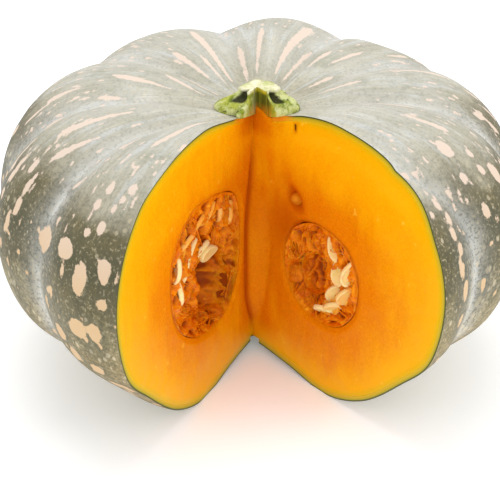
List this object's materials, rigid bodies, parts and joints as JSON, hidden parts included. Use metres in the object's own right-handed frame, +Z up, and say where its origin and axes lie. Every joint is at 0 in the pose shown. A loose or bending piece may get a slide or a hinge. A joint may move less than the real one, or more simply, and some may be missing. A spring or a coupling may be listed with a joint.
{
  "type": "kabocha squash",
  "caption": "Ribbed grey-green kabocha squash resting on its base, with a wedge cut out that opens the orange flesh, pulp and seeds.",
  "frame": {"origin": "middle of the outline's footprint, on the surface that the squash rests on", "axes": "+Z up along the stem, -Y towards the open wedge, +X across the longest side"},
  "size_m": [0.2589, 0.2466, 0.1515],
  "materials": {
    "rind": "satin, waxy bloom",
    "flesh": "moist, fine-grained",
    "stem": "dry, fibrous",
    "pulp": "wet, stringy",
    "seeds": "smooth, damp"
  },
  "bodies": {
    "root": {"rind": "rind", "flesh": "flesh", "stem": "stem", "pulp_left": "pulp", "seeds_left": "seeds", "pulp_right": "pulp", "seeds_right": "seeds", "seed_under_film": "seeds"}
  },
  "joints": []
}
